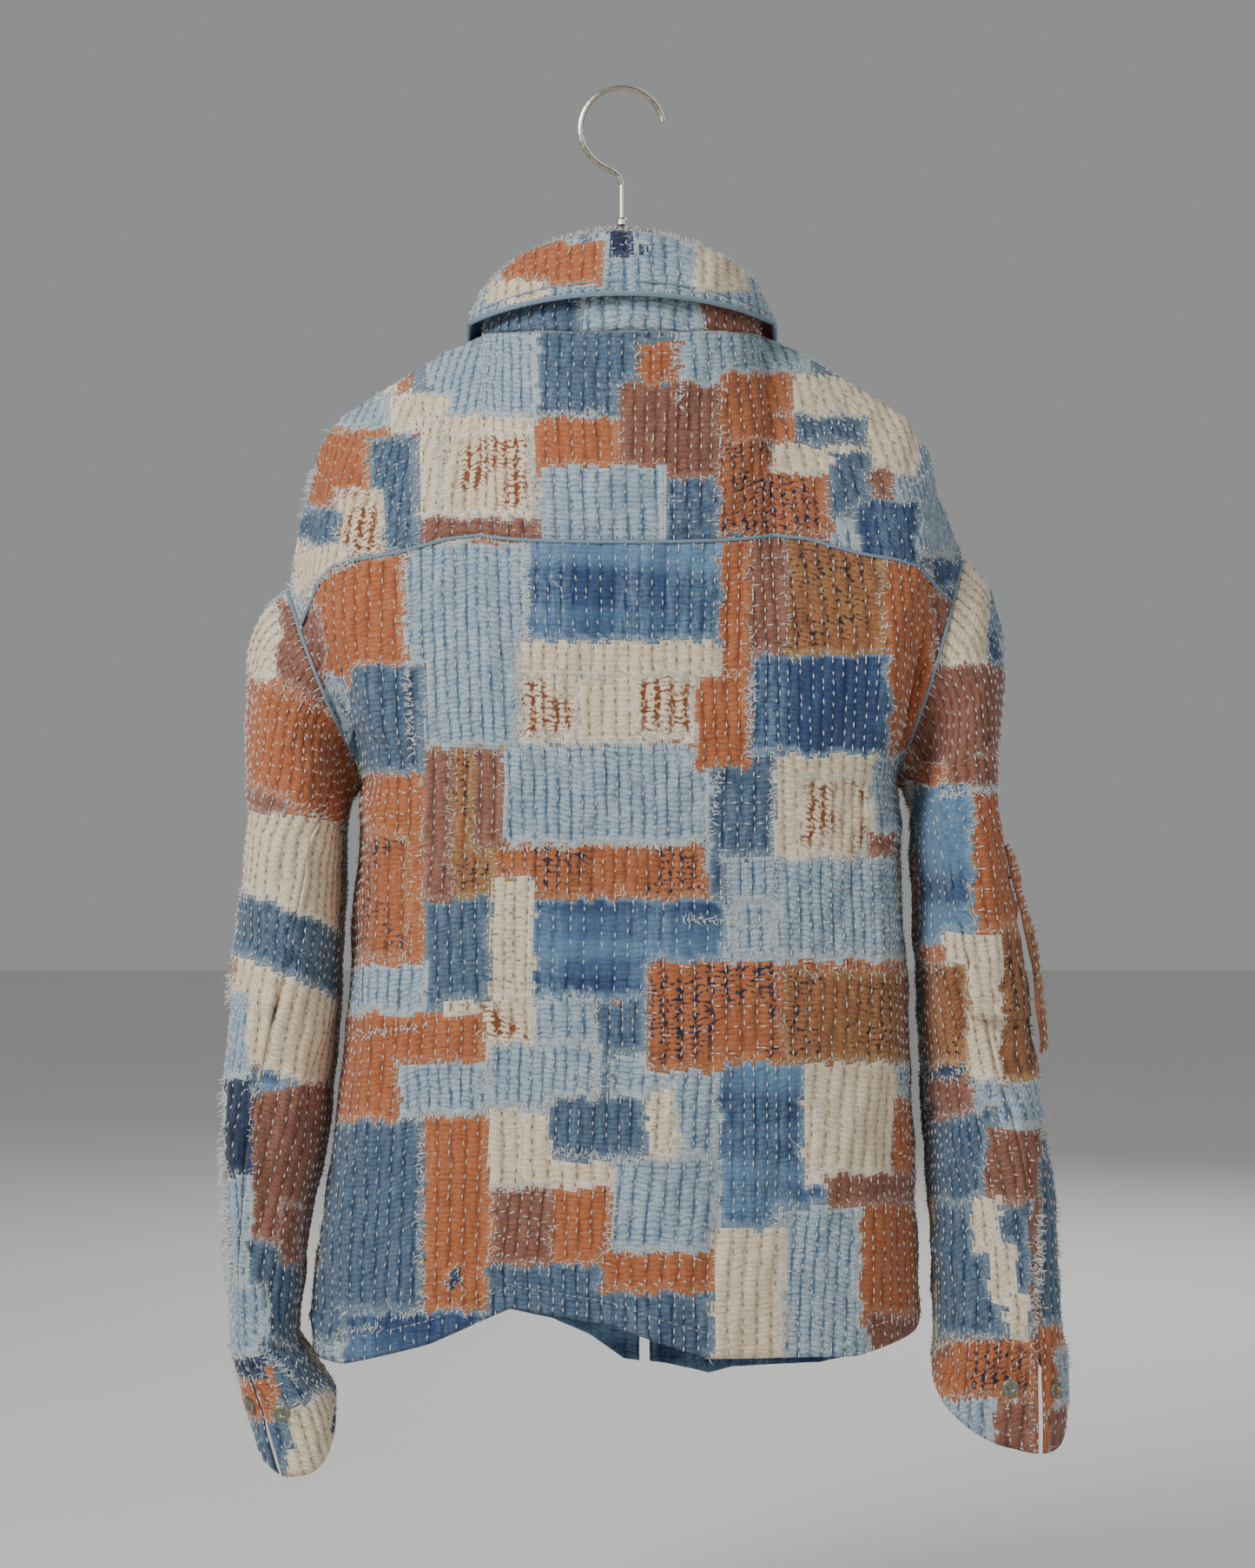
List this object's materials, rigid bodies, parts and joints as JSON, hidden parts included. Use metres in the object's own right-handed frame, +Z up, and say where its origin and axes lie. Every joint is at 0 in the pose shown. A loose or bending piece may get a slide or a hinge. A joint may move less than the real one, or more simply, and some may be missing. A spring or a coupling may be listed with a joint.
{
  "type": "patched boro jacket on a metal hanger",
  "caption": "Quilted patchwork denim jacket with a turned collar, zip front and slit snap cuffs, hung on a wire hanger by its hook.",
  "frame": {"origin": "inside of the top of the hanger's hook, where a rail carries it", "axes": "+Z up, the wearer would face +Y, +X is the wearer's right"},
  "size_m": [0.5863, 0.2192, 0.9656],
  "materials": {
    "patchwork": "quilted patchwork of faded denim, rust, brown and cream cotton, frayed",
    "zip_tape": "woven tape",
    "zip_metal": "worn",
    "snap_metal": "aged",
    "hanger_steel": "satin, warm"
  },
  "bodies": {
    "root": {"back_yoke": "patchwork", "back_body": "patchwork", "front_left": "patchwork", "front_right": "patchwork", "sleeve_top_left": "patchwork", "sleeve_under_left": "patchwork", "sleeve_top_right": "patchwork", "sleeve_under_right": "patchwork", "collar_stand": "patchwork", "collar_leaf": "patchwork", "torn_flap": "patchwork", "torn_rag": "patchwork", "zip_tape_left": "zip_tape", "zip_tape_right": "zip_tape", "zip_slider": "zip_metal", "zip_box": "zip_metal", "snap_socket_left": "snap_metal", "snap_socket_right": "snap_metal", "snap_stud_left": "snap_metal", "snap_stud_right": "snap_metal", "hanger_hook": "hanger_steel", "hanger_bar": "hanger_steel"},
    "pull": {"zip_pull": "zip_metal"}
  },
  "joints": [
    {"name": "pull_hinge", "type": "hinge", "parent": "root", "child": "pull", "pos_m": [0.00429, 0.081, -0.29901], "axis": [1, 0, 0], "range_deg": [0, 110]}
  ]
}
